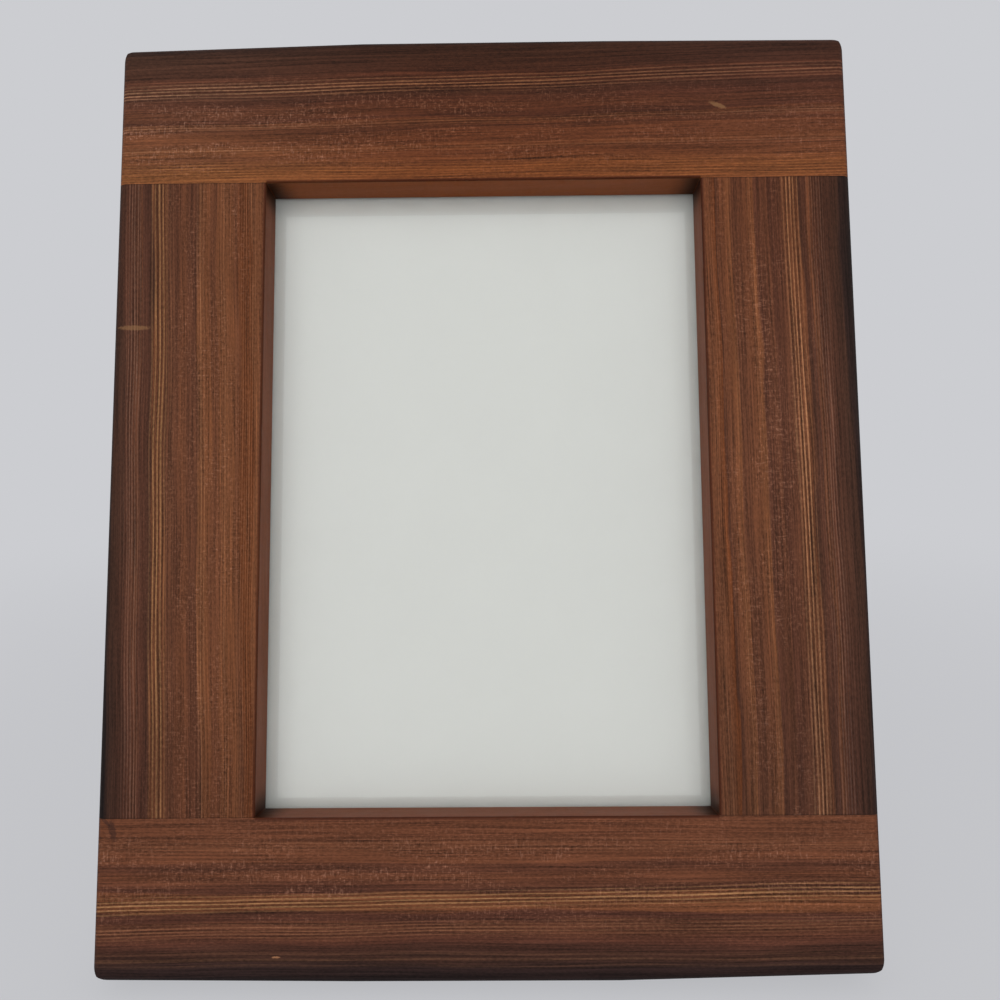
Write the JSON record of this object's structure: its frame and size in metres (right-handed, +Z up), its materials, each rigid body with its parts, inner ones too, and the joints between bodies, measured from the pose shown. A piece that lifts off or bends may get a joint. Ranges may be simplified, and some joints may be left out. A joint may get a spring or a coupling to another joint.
{
  "type": "wooden picture frame",
  "caption": "Standing wooden picture frame with half-lapped corners, glass, a white card, a backing board held by turn buttons, and a hinged easel strut.",
  "frame": {"origin": "on the floor, below the middle of the standing frame's bounding box", "axes": "+Z up, -Y towards the viewer of the picture, +X to the viewer's right; the frame leans back by 13 degrees"},
  "size_m": [0.199, 0.0876, 0.2462],
  "materials": {
    "rail_wood": "satin oil",
    "stile_wood": "satin oil",
    "glass": "polished",
    "white_card": "matt paper",
    "black_board": "paper-covered hardboard",
    "plated_steel": "nickel plated"
  },
  "bodies": {
    "frame": {"top_rail": "rail_wood", "bottom_rail": "rail_wood", "left_stile": "stile_wood", "right_stile": "stile_wood", "glass_pane": "glass", "mount_card": "white_card", "backing_board": "black_board", "hinge_board_leaf": "plated_steel", "hinge_pin": "plated_steel", "board_rivets": "plated_steel", "button_screws": "plated_steel"},
    "strut": {"easel_strut": "black_board", "hinge_strut_leaf": "plated_steel", "strut_rivets": "plated_steel"},
    "upper_left_button": {"turn_button_upper_left": "plated_steel"},
    "upper_right_button": {"turn_button_upper_right": "plated_steel"},
    "lower_left_button": {"turn_button_lower_left": "plated_steel"},
    "lower_right_button": {"turn_button_lower_right": "plated_steel"}
  },
  "joints": [
    {"name": "strut_fold", "type": "hinge", "parent": "frame", "child": "strut", "pos_m": [0, 0.01228, 0.15522], "axis": [1, 0, 0], "range_deg": [-24, 0]},
    {"name": "upper_left_turn", "type": "hinge", "parent": "frame", "child": "upper_left_button", "pos_m": [-0.0745, 0.01333, 0.16934], "axis": [0, -0.9744, 0.225], "continuous": true},
    {"name": "upper_right_turn", "type": "hinge", "parent": "frame", "child": "upper_right_button", "pos_m": [0.0745, 0.01333, 0.16934], "axis": [0, -0.9744, 0.225], "continuous": true},
    {"name": "lower_left_turn", "type": "hinge", "parent": "frame", "child": "lower_left_button", "pos_m": [-0.0745, -0.00894, 0.07288], "axis": [0, -0.9744, 0.225], "continuous": true},
    {"name": "lower_right_turn", "type": "hinge", "parent": "frame", "child": "lower_right_button", "pos_m": [0.0745, -0.00894, 0.07288], "axis": [0, -0.9744, 0.225], "continuous": true}
  ]
}
